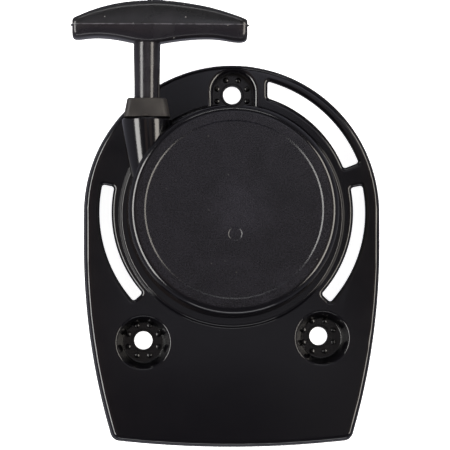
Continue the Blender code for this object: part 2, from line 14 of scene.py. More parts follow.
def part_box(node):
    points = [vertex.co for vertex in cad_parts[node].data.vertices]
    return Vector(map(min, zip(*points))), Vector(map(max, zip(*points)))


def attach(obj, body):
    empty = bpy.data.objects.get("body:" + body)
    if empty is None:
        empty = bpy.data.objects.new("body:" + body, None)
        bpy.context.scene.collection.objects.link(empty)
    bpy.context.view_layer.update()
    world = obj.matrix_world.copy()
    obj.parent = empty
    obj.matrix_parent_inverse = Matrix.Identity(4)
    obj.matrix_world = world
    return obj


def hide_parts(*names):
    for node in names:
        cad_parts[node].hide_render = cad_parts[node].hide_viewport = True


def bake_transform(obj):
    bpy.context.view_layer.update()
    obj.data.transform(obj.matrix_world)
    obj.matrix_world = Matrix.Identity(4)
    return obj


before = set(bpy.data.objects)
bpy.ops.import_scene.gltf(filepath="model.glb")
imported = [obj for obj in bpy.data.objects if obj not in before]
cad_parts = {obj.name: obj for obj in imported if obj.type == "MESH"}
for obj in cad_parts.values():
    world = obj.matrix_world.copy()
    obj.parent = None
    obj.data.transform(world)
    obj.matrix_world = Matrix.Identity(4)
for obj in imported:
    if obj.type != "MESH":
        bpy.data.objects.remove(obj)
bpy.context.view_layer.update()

MM = 0.001
REACH = 1 * MM  # how far a cutter or a welded body runs past the face it meets
MERGE = 0.002 * MM
NEAR = 0.01 * MM  # how close a vertex lies to the plane or corner it is picked by

# the cover's outline: half circle, straight stretch, long side arcs, round corners, shallow bottom arc
TOP_R = 67.8 * MM
SIDE_DROP = 15.0 * MM
SIDE_ARC_R = 306.0 * MM
BOTTOM_ARC_R = 470.0 * MM
BOTTOM_Y = -107.4 * MM
CORNER_R = 4.5 * MM
PLATE_MIDDLE_Y = -20 * MM
PLATE_HALF_LENGTH = 88 * MM
FOOT_FLARE = 0.9 * MM
FOOT_H = 2.4 * MM

PLATE_Z = 12.0 * MM
WALL = 2.5 * MM
EDGE_ROLL = 2.3 * MM
SEAT_Z = 3.0 * MM
DRUM_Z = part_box("housing_cover")[1][2]

DRUM_LOW_R = 49.3 * MM
DRUM_HIGH_R = 47.7 * MM
DRUM_EDGE_R = 3.5 * MM
DRUM_STEP_R = 40.1 * MM
DRUM_STEP = 0.32 * MM
DRUM_TOP_Z = DRUM_Z - DRUM_STEP
DRUM_BORE_R = 44.7 * MM
DRUM_BORE_FILLET = 1.5 * MM
# rings that keep the faces of the drum's flat top compact
DRUM_RINGS = (34.0, 27.0, 20.0, 13.0, 6.0, 0.0)

# the low step that the drum stands on
STEP_R = 51.2 * MM
STEP_H = 2.4 * MM
STEP_ROLL = 1.0 * MM
STEP_HOLLOW = 0.7 * MM
STEP_XY = (-0.2 * MM, -1.6 * MM)

GATE_XY = (0.5 * MM, -11.0 * MM)
GATE_R = 3.0 * MM
GATE_DEPTH = 0.15 * MM
BLOOM_AT = (3.2 * MM, 1.0 * MM, DRUM_Z)

POST_R = 7.5 * MM
POST_END_Z = 13.0 * MM
INSERT_R = 4.9 * MM
INSERT_END_Z = 28.3 * MM

BOLTS = {"top": (0.0, 54.7 * MM), "left": (-41.0 * MM, -59.0 * MM), "right": (40.0 * MM, -57.0 * MM)}
POCKET_SHIFT = {"top": (0.3 * MM, 0.7 * MM), "left": (0.0, -1.0 * MM), "right": (1.3 * MM, -0.9 * MM)}
BOLT_R = 4.2 * MM
POCKET_R = 12.9 * MM
POCKET_ROLL = 1.0 * MM
POCKET_FLOOR_R = 9.6 * MM
POCKET_FILLET = 0.8 * MM
TOP_POCKET_R = 11.7 * MM
TOP_POCKET_FLOOR_R = 9.1 * MM
SCALLOP_R = 9.3 * MM
SCALLOP_ROLL = 0.8 * MM
BOSS_R = 15.0 * MM
COLLAR_R = 5.3 * MM
COLLAR_H = 0.5 * MM
COLLAR_CHAMFER = (0.25 * MM, 0.2 * MM)
BUMP_RING_R = 7.5 * MM
BUMP_R = 1.3 * MM
BUMP_SQUASH = 0.6
BUMPS = 8

# vent slots: inner radius, outer radius, first and last angle
VENTS = {
    "left": (55.7 * MM, 61.2 * MM, 168.0, 222.0),
    "right": (55.7 * MM, 61.2 * MM, -42.6, 11.7),
    "upper": (55.2 * MM, 62.6 * MM, 21.5, 75.0),
}
VENT_ROLL = 1.9 * MM
VENT_CORNER = 1.3 * MM

ROPE_X = -39.4 * MM
ROPE_Z = 24.0 * MM
ROPE_R = 2.0 * MM
SPOUT_Y = 42.0 * MM
SPOUT_R = 11.5 * MM
SPOUT_LIP = 1.2 * MM
SPOUT_LEAN = 0.055
# y and radius down the spout, in millimetres
SPOUT_TAPER = [(38.0, 11.3), (34.0, 11.0), (30.0, 10.6), (25.0, 10.0), (20.0, 9.2), (15.0, 8.3),
               (11.0, 7.5), (8.0, 6.9)]
# radius and y along the spout's bore, in millimetres
SPOUT_BORE = [(0.0, 4.0), (3.4, 4.0), (5.6, 34.0), (5.6, 37.0), (8.2, 37.0), (8.2, 43.0), (0.0, 43.0)]

# the grip's bar, in millimetres: x, crown and underside at each station, then half depth at given x
BAR_SPLIT_Y = 85.0
PARTING_Y = 84.3
BAR_SHAPE = [
    (-73.4, 86.9, 79.2), (-72.9, 87.5, 78.4), (-71.9, 88.1, 78.0), (-70.0, 88.9, 78.0), (-67.5, 90.1, 78.4),
    (-63.0, 91.9, 78.9), (-57.0, 93.7, 78.6), (-51.0, 94.9, 77.7), (-46.0, 95.5, 76.5), (-41.0, 95.9, 75.7),
    (-36.0, 96.1, 75.7), (-31.0, 95.9, 76.5), (-26.0, 95.4, 77.4), (-20.0, 94.5, 78.1), (-14.0, 93.5, 78.5),
    (-8.5, 92.2, 78.4), (-4.0, 90.8, 77.8), (0.0, 89.4, 77.0), (2.8, 88.4, 76.8), (4.7, 87.6, 77.0),
    (5.8, 87.1, 77.6), (6.3, 86.6, 78.5),
]
BAR_STATIONS = [x for x, crown, under in BAR_SHAPE]
BAR_CROWN = [(x, crown) for x, crown, under in BAR_SHAPE]
BAR_UNDER = [(x, under) for x, crown, under in BAR_SHAPE]
BAR_DEPTH = [(-73.4, 7.2), (-72.9, 8.2), (-71.9, 8.8), (-70.0, 9.05), (-57.0, 9.15), (-36.0, 9.2),
             (-14.0, 8.9), (2.8, 8.4), (4.7, 8.1), (5.8, 7.5), (6.3, 6.6)]
# the two halves of the bar's section: first angle, width, how square it is across and outwards, and its end
BAR_SECTION = ((0.0, 0.95, 0.42, 0.55, -1.0), (180.0, 0.97, 0.5, 0.6, 1.0))
RIDGE_H = 0.28 * MM
RIDGE_OUT = 0.16 * MM
FLASH_SIZE = (1.8 * MM, 0.7 * MM, 2.6 * MM)
# radius and y of what is turned round the rope's line, in millimetres
STEM = [(0.0, 48.6), (5.2, 48.6), (5.75, 49.15), (5.85, 60.0), (6.1, 73.0), (6.15, 80.0), (0.0, 80.0)]
GRIP_BORE_R = 2.5 * MM
KNOT_POCKET = [(0.0, 86.5), (5.9, 86.5), (5.9, 94.0), (6.5, 97.0), (6.5, 99.0), (0.0, 99.0)]
CAP_DOME = [(0.0, 93.4), (5.5, 93.4), (5.6, 93.6), (5.55, 94.5), (5.2, 94.85), (4.0, 95.4), (2.0, 95.85),
            (0.0, 96.0)]
CAP_BOSS = [(0.0, 94.2), (3.8, 94.2), (3.8, 95.9), (3.5, 96.3), (0.0, 96.3)]
GRIP_POCKET_X = -37.6 * MM
CAP_BOSS_X = -35.7 * MM

BUSH_Y = (42.3 * MM, 50.8 * MM)
BUSH_HALF = (10.5 * MM, 8.9 * MM)
BUSH_LEFT = (2.4 * MM, 5)  # size and steps of the rounding
BUSH_RIGHT = (3.4 * MM, 3)
BUSH_BORE_R = 3.2 * MM
BUSH_SEAT_R = (6.5 * MM, 7.2 * MM)
BUSH_SEAT_DEPTH = 2.6 * MM
SHANK_R = 7.9 * MM
# the nib's corners in millimetres, x from the rope's line and y from the bushing's foot
BUSH_NIB = [(-2.4, 0.25), (1.2, 0.25), (-0.6, 1.95)]
BUSH_NIB_H = 2.5 * MM

BLEND_Y = (44.5, 52.5)
ROPE_ENDS_Y = (0.0, 88.6)
ROPE_RINGS = 60
# radius and height of the wound rope at the start of each turn, in millimetres
TURN_STOPS = [(31.6, 22.5), (31.6, 25.5), (34.8, 25.5), (34.8, 22.5), (34.9, 24.0)]
TURN_STEPS = 36
TURN_START = 175.0
TURN_CROSSING = 0.8  # share of a turn after which the rope crosses over to the next
WOUND_R = 1.7 * MM

CAMERA_AT = (-36 * MM, -57.5 * MM, 1200 * MM)
CAMERA_TO = (-3.5 * MM, -6 * MM, 12 * MM)
CAMERA_LENS = 206.9
FLOOR_GLOW = 0.95
ROOM_LEVEL = 0.075
TABLE_LEVEL = 0.32
HORIZON = (-0.05, 0.8)
# name, place, width and height, power and colour of each softbox
SOFTBOXES = [
    ("left", (-0.77, -0.06, 0.65), (0.36, 1.2), 13.5, "#fffdfa"),
    ("right", (0.66, 0.0, 0.73), (0.34, 1.0), 8.2, "#fff8ee"),
    ("top", (0.0, 0.9, 0.62), (0.8, 0.12), 1.2, "#ffffff"),
    ("foot", (0.0, -0.95, 0.13), (0.9, 0.2), 1.5, "#ffffff"),
    ("ceiling_top", (0.0, 0.6, 2.2), (0.9, 0.75), 0.68, "#f0f0ff"),
    ("ceiling_grip", (0.34, 0.50, 2.2), (0.6, 0.4), 0.5, "#f0f0ff"),
    ("ceiling_middle", (0.06, 0.03, 2.2), (0.30, 0.26), 0.062, "#f4f4ff"),
    ("ceiling_left", (-0.36, -0.05, 2.2), (0.45, 0.9), 0.36, "#ffdcc4"),
    ("ceiling_right", (0.50, 0.1, 2.2), (0.45, 0.9), 0.34, "#ffe4d0"),
    ("ceiling_foot", (0.24, -0.15, 2.2), (0.22, 0.16), 0.012, "#ffffff"),
]


# ---------------------------------------------------------------- modelling by hand

def in_metres(points):
    return [(a * MM, b * MM) for a, b in points]


def choose(obj):
    """Make obj the only selected object, and the active one."""
    bpy.ops.object.select_all(action="DESELECT")
    obj.select_set(True)
    bpy.context.view_layer.objects.active = obj


def begin(obj):
    """Open obj for editing, with nothing of it selected."""
    choose(obj)
    bpy.ops.object.mode_set(mode="EDIT")
    bpy.ops.mesh.select_mode(type="VERT")
    bpy.ops.mesh.select_all(action="DESELECT")


def done():
    bpy.ops.object.mode_set(mode="OBJECT")


def pick(obj, kind, test):
    """Select the verts, edges or faces of the edited object whose middle and normal pass the test."""
    bpy.ops.mesh.select_all(action="DESELECT")
    bpy.ops.mesh.select_mode(type={"verts": "VERT", "edges": "EDGE", "faces": "FACE"}[kind])
    bm = bmesh.from_edit_mesh(obj.data)
    for item in getattr(bm, kind):
        if kind == "verts":
            chosen = test(item.co, item.normal)
        elif kind == "edges":
            chosen = all(test(v.co, v.normal) for v in item.verts)
        else:
            chosen = test(item.calc_center_median(), item.normal)
        if chosen:
            item.select_set(True)
    bmesh.update_edit_mesh(obj.data)


def start_point(name, point):
    """A new object that holds one vertex, open for editing with the vertex selected."""
    bpy.ops.mesh.primitive_plane_add(size=MM, location=(0.0, 0.0, 0.0))
    obj = bpy.context.object
    obj.name = obj.data.name = name
    bpy.ops.object.mode_set(mode="EDIT")
    bpy.ops.mesh.select_mode(type="VERT")
    bpy.ops.mesh.select_all(action="SELECT")
    bpy.ops.mesh.merge(type="CENTER")
    bpy.ops.transform.translate(value=point)
    return obj


def draw_to(start, end):
    """Extrude the selected vertex in a straight line."""
    move = Vector(end) - Vector(start)
    bpy.ops.mesh.extrude_region_move(TRANSFORM_OT_translate={"value": move})


def draw_arc(centre, angle, steps, axis=(0.0, 0.0, 1.0)):
    """Spin the selected vertex round a centre; the operator turns clockwise, so the angle is negated."""
    bpy.ops.mesh.spin(steps=steps, angle=-radians(angle), center=centre, axis=axis)


def clean(threshold=MERGE):
    """Merge what meets, and turn every face outwards."""
    bpy.ops.mesh.select_all(action="SELECT")
    bpy.ops.mesh.remove_doubles(threshold=threshold)
    bpy.ops.mesh.normals_make_consistent(inside=False)


def turn(name, profile, steps=64, centre=(0.0, 0.0)):
    """Turn a (radius, z) profile, drawn point by point, round a vertical axis."""
    x, y = centre
    points = [Vector((x + r, y, z)) for r, z in profile]
    obj = start_point(name, points[0])
    for a, b in zip(points, points[1:]):
        draw_to(a, b)
    if profile[0][0] > 0.0:
        draw_to(points[-1], points[0])
    bpy.ops.mesh.select_all(action="SELECT")
    bpy.ops.mesh.spin(steps=steps, angle=2 * pi, center=(x, y, 0.0), axis=(0.0, 0.0, 1.0))
    clean()
    done()
    return obj


def fillet(centre, r, a0, a1, steps=6):
    """(radius, z) points of a rounded corner in a profile, angles in degrees."""
    angles = [radians(a0 + (a1 - a0) * k / steps) for k in range(steps + 1)]
    return [(centre[0] + r * cos(a), centre[1] + r * sin(a)) for a in angles]


def close_outline():
    """Merge the ends of the traced outline, and leave all of it selected."""
    bpy.ops.mesh.select_all(action="SELECT")
    bpy.ops.mesh.remove_doubles(threshold=MERGE)


def fill_and_raise(height):
    """Fill the traced outline and pull it up into a solid."""
    close_outline()
    bpy.ops.mesh.edge_face_add()
    bpy.ops.mesh.extrude_region_move(TRANSFORM_OT_translate={"value": height})
    clean()


def apply_boolean(obj, tool, operation):
    """Cut, join or intersect with a tool, and drop the tool."""
    choose(obj)
    step = obj.modifiers.new("step", "BOOLEAN")
    step.operation = operation
    step.solver = "MANIFOLD"
    step.object = tool
    bpy.ops.object.modifier_apply(modifier=step.name)
    bpy.data.objects.remove(tool, do_unlink=True)


def cut(obj, *tools):
    for tool in tools:
        apply_boolean(obj, tool, "DIFFERENCE")


def weld(obj, *tools):
    for tool in tools:
        apply_boolean(obj, tool, "UNION")


def smooth(obj, angle=32.0):
    """Shade smooth up to an angle, with the large flat faces keeping their own normals."""
    choose(obj)
    bpy.ops.object.shade_smooth_by_angle(angle=radians(angle))
    weights = obj.modifiers.new("weights", "WEIGHTED_NORMAL")
    weights.mode = "FACE_AREA"
    weights.weight = 100
    weights.keep_sharp = True
    bpy.ops.object.modifier_apply(modifier=weights.name)


# ---------------------------------------------------------------- the cover

def circles_meet(c0, r0, c1, r1):
    """The right-hand point where two circles meet."""
    dx, dy = c1[0] - c0[0], c1[1] - c0[1]
    dist = hypot(dx, dy)
    turned = acos((r0 * r0 + dist * dist - r1 * r1) / (2 * r0 * dist))
    base = atan2(dy, dx)
    found = [(c0[0] + r0 * cos(base + s * turned), c0[1] + r0 * sin(base + s * turned)) for s in (1, -1)]
    return max(found, key=lambda p: p[0])


def plate_solid(name, inset, low, high):
    """The plate's outline drawn as a chain of tangent arcs, filled and raised from low to high."""
    side = (TOP_R - SIDE_ARC_R, -SIDE_DROP)
    bottom = (0.0, BOTTOM_Y + BOTTOM_ARC_R)
    corner = circles_meet(side, SIDE_ARC_R - CORNER_R, bottom, BOTTOM_ARC_R - CORNER_R)
    side_end = degrees(atan2(corner[1] - side[1], corner[0] - side[0]))
    bottom_end = degrees(atan2(corner[1] - bottom[1], corner[0] - bottom[0]))
    half_r = TOP_R - inset
    obj = start_point(name, (half_r, 0.0, low))
    draw_arc((0.0, 0.0, low), 180.0, 120)
    draw_to((-half_r, 0.0, low), (-half_r, -SIDE_DROP, low))
    draw_arc((-side[0], side[1], low), -side_end, 16)
    draw_arc((-corner[0], corner[1], low), side_end - bottom_end, 8)
    draw_arc((bottom[0], bottom[1], low), 2 * (90.0 + bottom_end), 24)
    draw_arc((corner[0], corner[1], low), side_end - bottom_end, 8)
    draw_arc((side[0], side[1], low), -side_end, 16)
    fill_and_raise((0.0, 0.0, high - low))
    return obj


def plate_shell():
    """The plate's outside: rounded top edge, skirt, and a foot that flares a little."""
    obj = plate_solid("cover", 0.0, FOOT_H, PLATE_Z)
    pick(obj, "faces", lambda c, n: n.z < -0.9)
    bpy.ops.mesh.extrude_region_move(TRANSFORM_OT_translate={"value": (0.0, 0.0, -FOOT_H)})
    flare = (1 + FOOT_FLARE / TOP_R, 1 + FOOT_FLARE / PLATE_HALF_LENGTH, 1.0)
    bpy.ops.transform.resize(value=flare, center_override=(0.0, PLATE_MIDDLE_Y, 0.0))
    pick(obj, "edges", lambda c, n: c.z > PLATE_Z - NEAR)
    bpy.ops.mesh.bevel(offset=EDGE_ROLL, segments=6, profile=0.5, affect="EDGES")
    done()
    return obj


def drum_solid():
    """The drum's outside: drafted wall, rolled edge, and a faint step down on top."""
    low_r = DRUM_LOW_R - 0.3 * MM
    profile = [(0.0, PLATE_Z - 2 * REACH), (low_r, PLATE_Z - 2 * REACH), (low_r, PLATE_Z + REACH)]
    edge = (DRUM_HIGH_R - DRUM_EDGE_R, DRUM_Z - DRUM_EDGE_R)
    profile += fillet(edge, DRUM_EDGE_R, 4.0, 90.0, 9)
    profile += [(DRUM_STEP_R + 0.4 * MM, DRUM_Z), (DRUM_STEP_R - 0.25 * MM, DRUM_TOP_Z)]
    profile += [(r * MM, DRUM_TOP_Z) for r in DRUM_RINGS]
    return turn("drum", profile, 160)


def drum_foot():
    """The low step that the drum stands on, a little off its axis towards the cover's foot."""
    profile = [(0.0, PLATE_Z - 2 * REACH), (STEP_R + 0.6 * MM, PLATE_Z - 2 * REACH)]
    profile += fillet((STEP_R + 1.2 * MM, PLATE_Z + STEP_HOLLOW), STEP_HOLLOW, 250.0, 190.0, 4)
    profile += fillet((STEP_R - STEP_ROLL, PLATE_Z + STEP_H - STEP_ROLL), STEP_ROLL, 10.0, 90.0, 6)
    profile += [(0.0, PLATE_Z + STEP_H)]
    return turn("drum_foot", profile, 160, STEP_XY)


def gate_recess():
    """Cutter for the shallow round recess round the mould's gate on the drum."""
    floor, above = DRUM_TOP_Z - GATE_DEPTH, DRUM_TOP_Z + 2 * GATE_DEPTH
    profile = [(0.0, floor), (GATE_R - 0.16 * MM, floor), (GATE_R + 0.8 * MM, above), (0.0, above)]
    return turn("gate_recess", profile, 40, GATE_XY)


def spout_solid():
    """The rope's spout: an arch that swells from the drum's side up to its round lip."""
    base_z = PLATE_Z - 1.5 * MM
    right, left = ROPE_X + SPOUT_R, ROPE_X - SPOUT_R
    obj = start_point("spout", (right, SPOUT_Y, base_z))
    draw_to((right, SPOUT_Y, base_z), (right, SPOUT_Y, ROPE_Z))
    draw_arc((ROPE_X, SPOUT_Y, ROPE_Z), -180.0, 40, (0.0, 1.0, 0.0))
    draw_to((left, SPOUT_Y, ROPE_Z), (left, SPOUT_Y, base_z))
    draw_to((left, SPOUT_Y, base_z), (right, SPOUT_Y, base_z))
    close_outline()
    bpy.ops.mesh.edge_face_add()
    last_y, last_r = SPOUT_Y, SPOUT_R
    for y, r in in_metres(SPOUT_TAPER):
        middle = ROPE_X + SPOUT_LEAN * (SPOUT_Y - y)
        step = (SPOUT_LEAN * (last_y - y), y - last_y, 0.0)
        pick(obj, "faces", lambda c, n: abs(c.y - last_y) < NEAR)
        bpy.ops.mesh.extrude_region_move(TRANSFORM_OT_translate={"value": step})
        grown = r / last_r
        pick(obj, "verts", lambda c, n: abs(c.y - y) < NEAR and c.z > base_z + NEAR)
        bpy.ops.transform.resize(value=(grown, 1.0, grown), center_override=(middle, y, ROPE_Z))
        pick(obj, "verts", lambda c, n: abs(c.y - y) < NEAR and c.z < base_z + NEAR)
        bpy.ops.transform.resize(value=(grown, 1.0, 1.0), center_override=(middle, y, base_z))
        last_y, last_r = y, r
    clean()
    pick(obj, "edges", lambda c, n: c.y > SPOUT_Y - NEAR)
    bpy.ops.mesh.bevel(offset=SPOUT_LIP, segments=5, profile=0.5, affect="EDGES")
    done()
    return obj


def flared_cutter(obj, low, high, roll):
    """Raise a traced outline into a cutter whose mouth opens along a quarter circle.

    Each step of the mouth is first pulled straight up, so that its edge points sideways,
    and is then let out evenly.
    """
    fill_and_raise((0.0, 0.0, high - roll - low))
    top = high - roll
    pick(obj, "faces", lambda c, n: n.z > 0.9 and c.z > top - NEAR)
    bpy.ops.mesh.delete(type="ONLY_FACE")
    steps = 6
    pick(obj, "edges", lambda c, n: c.z > top - NEAR)
    for k in range(steps):
        a, b = radians(90.0 * k / steps), radians(90.0 * (k + 1) / steps)
        lift = (0.0, 0.0, roll * (sin(b) - sin(a)))
        bpy.ops.mesh.extrude_region_move(TRANSFORM_OT_translate={"value": lift})
        bpy.ops.transform.shrink_fatten(value=roll * (cos(a) - cos(b)), use_even_offset=True)
    bpy.ops.mesh.extrude_region_move(TRANSFORM_OT_translate={"value": (0.0, 0.0, REACH)})
    bpy.ops.mesh.edge_face_add()
    clean(0.0005 * MM)
    done()
    return obj


def on_circle(r, angle, z=0.0):
    return (r * cos(radians(angle)), r * sin(radians(angle)), z)


def vent_cutter(key):
    """An arched slot whose upper edge is rolled."""
    r0, r1, a0, a1 = VENTS[key]
    low = PLATE_Z - WALL - REACH
    start = on_circle(r1, a0, low)
    obj = start_point("vent_" + key, start)
    draw_arc((0.0, 0.0, low), a1 - a0, 48)
    outer_end, inner_end = on_circle(r1, a1, low), on_circle(r0, a1, low)
    if key == "upper":
        inner_end = (outer_end[0], sqrt(r0 * r0 - outer_end[0] ** 2), low)
    draw_to(outer_end, inner_end)
    turned = (degrees(atan2(inner_end[1], inner_end[0])) - a0) % 360.0
    draw_arc((0.0, 0.0, low), -turned, 44)
    draw_to(on_circle(r0, a0, low), start)
    close_outline()
    corners = [Vector(c) for c in (start, outer_end, inner_end, on_circle(r0, a0, low))]
    pick(obj, "verts", lambda c, n: min((c - corner).length for corner in corners) < NEAR)
    bpy.ops.mesh.bevel(offset=VENT_CORNER, segments=4, affect="VERTICES")
    return flared_cutter(obj, low, PLATE_Z, VENT_ROLL)


def pocket_centre(key):
    return (BOLTS[key][0] + POCKET_SHIFT[key][0], BOLTS[key][1] + POCKET_SHIFT[key][1])


def pocket_cutter(key):
    """A round pocket with a filleted floor, a sloping wall and a rolled rim."""
    rim, floor, corner = POCKET_R, POCKET_FLOOR_R, POCKET_FILLET
    profile = [(0.0, SEAT_Z)] + fillet((floor - corner, SEAT_Z + corner), corner, 270.0, 360.0, 4)
    profile += fillet((rim, PLATE_Z - POCKET_ROLL), POCKET_ROLL, 170.0, 90.0, 6)
    profile += [(rim, PLATE_Z + REACH), (0.0, PLATE_Z + REACH)]
    return turn("pocket_" + key, profile, 72, pocket_centre(key))


def top_pocket_cutters():
    """A U-shaped pocket that opens to the drum, and the round scallop it leaves in the drum's edge."""
    x, y = pocket_centre("top")
    r = TOP_POCKET_FLOOR_R
    legs = DRUM_LOW_R - 0.6 * MM
    obj = start_point("pocket_top", (x + r, y, SEAT_Z))
    draw_arc((x, y, SEAT_Z), 180.0, 40)
    draw_to((x - r, y, SEAT_Z), (x - r, legs, SEAT_Z))
    draw_to((x - r, legs, SEAT_Z), (x + r, legs, SEAT_Z))
    draw_to((x + r, legs, SEAT_Z), (x + r, y, SEAT_Z))
    flared_cutter(obj, SEAT_Z, PLATE_Z, TOP_POCKET_R - r)
    low, high = SEAT_Z + 4 * REACH, DRUM_Z + 0.5 * SCALLOP_ROLL
    profile = [(0.0, low), (SCALLOP_R, low), (SCALLOP_R, DRUM_Z - SCALLOP_ROLL)]
    profile += [(SCALLOP_R + SCALLOP_ROLL, high), (0.0, high)]
    return [obj, turn("scallop", profile, 72, (x, y))]


def dome(place):
    """One small dome, a sphere with its upper half flattened."""
    bpy.ops.mesh.primitive_uv_sphere_add(segments=20, ring_count=12, radius=BUMP_R, location=place)
    obj = bpy.context.object
    flat_from = BUMP_SQUASH * BUMP_R
    begin(obj)
    pick(obj, "verts", lambda c, n: c.z > flat_from)
    middle = (place[0], place[1], SEAT_Z + flat_from)
    bpy.ops.transform.resize(value=(1.0, 1.0, BUMP_SQUASH), center_override=middle)
    done()
    choose(obj)
    bpy.ops.object.transform_apply(location=True, rotation=True, scale=True)
    return obj


def seat_detail(key):
    """The raised collar round a bolt hole, and the ring of small domes that grips the bolt's flange."""
    x, y = BOLTS[key]
    inner, r, low, top = BOLT_R - 0.4 * MM, COLLAR_R, SEAT_Z - COLLAR_H, SEAT_Z + COLLAR_H
    across, down = COLLAR_CHAMFER
    profile = [(inner, low), (r, low), (r, top - down), (r - across, top), (inner, top)]
    collar = turn("collar_" + key, profile, 48, (x, y))
    angles = [2 * pi * (k + 0.5) / BUMPS for k in range(BUMPS)]
    domes = [dome((x + BUMP_RING_R * cos(a), y + BUMP_RING_R * sin(a), SEAT_Z)) for a in angles]
    choose(domes[0])
    for obj in domes[1:]:
        obj.select_set(True)
    bpy.ops.object.join()
    return [collar, domes[0]]


def cover_hollow():
    """What is hollow under the cover: the plate's underside and the drum's room."""
    under = plate_solid("under", WALL, -REACH, PLATE_Z - WALL)
    done()
    ceiling, corner = DRUM_Z - WALL, DRUM_BORE_FILLET
    profile = [(0.0, -REACH), (DRUM_BORE_R, -REACH), (DRUM_BORE_R, ceiling - corner)]
    profile += fillet((DRUM_BORE_R - corner, ceiling - corner), corner, 0.0, 90.0, 4) + [(0.0, ceiling)]
    return [under, turn("room", profile, 128)]


def along_rope(obj, x=ROPE_X):
    """Turn a piece made round Z so that its +Z runs along the rope, or along a line beside it."""
    obj.data.transform(Matrix.Translation((x, 0.0, ROPE_Z)) @ Matrix.Rotation(-pi / 2, 4, "X"))
    return obj


def rod(name, r, z0, z1, steps=48, centre=(0.0, 0.0)):
    return turn(name, [(0.0, z0), (r, z0), (r, z1), (0.0, z1)], steps, centre)


def housing_cover():
    """The whole moulding, built up and hollowed out as its mould does."""
    cover = plate_shell()
    weld(cover, drum_foot(), drum_solid(), spout_solid())
    cut(cover, *cover_hollow())
    limit = plate_solid("limit", 0.1 * MM, -0.5 * REACH, PLATE_Z)
    done()
    for key in BOLTS:
        boss = rod("boss", BOSS_R, 0.0, PLATE_Z - REACH, 64, pocket_centre(key))
        if key == "top":
            apply_boolean(boss, limit, "INTERSECT")
        weld(cover, boss)
    weld(cover, rod("post", POST_R, POST_END_Z, DRUM_Z - REACH, 48))
    cut(cover, pocket_cutter("left"), pocket_cutter("right"), *top_pocket_cutters())
    for key in BOLTS:
        weld(cover, *seat_detail(key))
        cut(cover, rod("hole", BOLT_R, -REACH, PLATE_Z, 48, BOLTS[key]))
    cut(cover, *[vent_cutter(key) for key in VENTS])
    cut(cover, rod("insert_hole", INSERT_R, POST_END_Z - REACH, INSERT_END_Z, 40))
    cut(cover, along_rope(turn("bore", in_metres(SPOUT_BORE), 48)), gate_recess())
    begin(cover)
    bpy.ops.mesh.select_all(action="SELECT")
    bpy.ops.mesh.dissolve_degenerate(threshold=0.0005 * MM)
    pick(cover, "faces", lambda c, n: c.z < DRUM_Z - REACH)
    bpy.ops.mesh.dissolve_limited(angle_limit=radians(0.4))
    done()
    cover.name = cover.data.name = "cover_moulding"
    return cover


# ---------------------------------------------------------------- grip, bushing, rope

def between(table, x):
    """Read a curve given as (x, value) points."""
    for (x0, a), (x1, b) in zip(table, table[1:]):
        if x <= x1:
            return a + (b - a) * (x - x0) / (x1 - x0)
    return table[-1][1]


def grip_bar():
    """The bar: one rounded section drawn at the left end and pulled along X, reshaped at each station."""
    section = []
    for first, width, across, outwards, end in BAR_SECTION:
        for k in range(1, 12):
            t = radians(first + 15.0 * k)
            w, v = abs(cos(t)) ** across, abs(sin(t)) ** outwards
            section.append((width * copysign(w, cos(t)), copysign(v, sin(t))))
        section.append((end, 0.0))
    x0, deep = BAR_STATIONS[0] * MM, between(BAR_DEPTH, BAR_STATIONS[0]) * MM
    up = (between(BAR_CROWN, BAR_STATIONS[0]) - BAR_SPLIT_Y) * MM
    down = (BAR_SPLIT_Y - between(BAR_UNDER, BAR_STATIONS[0])) * MM
    split = BAR_SPLIT_Y * MM
    points = [Vector((x0, split + v * (up if v > 0 else down), ROPE_Z + w * deep)) for w, v in section]
    bar = start_point("grip_bar", points[0])
    for a, b in zip(points, points[1:]):
        draw_to(a, b)
    bpy.ops.mesh.select_all(action="SELECT")
    bpy.ops.mesh.edge_face_add()
    for last, here in zip(BAR_STATIONS, BAR_STATIONS[1:]):
        pick(bar, "faces", lambda c, n: abs(c.x - last * MM) < NEAR)
        bpy.ops.mesh.extrude_region_move(TRANSFORM_OT_translate={"value": ((here - last) * MM, 0.0, 0.0)})
        x = here * MM
        grown = between(BAR_DEPTH, here) / between(BAR_DEPTH, last)
        bpy.ops.transform.resize(value=(1.0, 1.0, grown), center_override=(x, split, ROPE_Z))
        for side, table in ((1, BAR_CROWN), (-1, BAR_UNDER)):
            grown = (between(table, here) - BAR_SPLIT_Y) / (between(table, last) - BAR_SPLIT_Y)
            pick(bar, "verts", lambda c, n: abs(c.x - x) < NEAR and side * (c.y - split) > 0.1 * NEAR)
            bpy.ops.transform.resize(value=(1.0, grown, 1.0), center_override=(x, split, ROPE_Z))
    first, last = BAR_STATIONS[0] * MM, BAR_STATIONS[-1] * MM
    pick(bar, "faces", lambda c, n: min(abs(c.x - first), abs(c.x - last)) < NEAR)
    bpy.ops.mesh.inset(thickness=1.2 * MM, use_individual=True)
    clean()
    done()
    rounder = bar.modifiers.new("rounder", "SUBSURF")
    rounder.levels = rounder.render_levels = 2
    bpy.ops.object.modifier_apply(modifier=rounder.name)
    return bar


def parting_line():
    """The fine ridge that runs round the bar where the mould's halves met."""
    y = PARTING_Y * MM - 0.5 * RIDGE_H
    near = [(x * MM, ROPE_Z + between(BAR_DEPTH, x) * MM + RIDGE_OUT) for x in BAR_STATIONS]
    far = [(x, 2 * ROPE_Z - z) for x, z in reversed(near)]
    points = [Vector((x, y, z)) for x, z in near + far]
    ridge = start_point("parting_line", points[0])
    for a, b in zip(points, points[1:] + points[:1]):
        draw_to(a, b)
    fill_and_raise((0.0, RIDGE_H, 0.0))
    done()
    return ridge


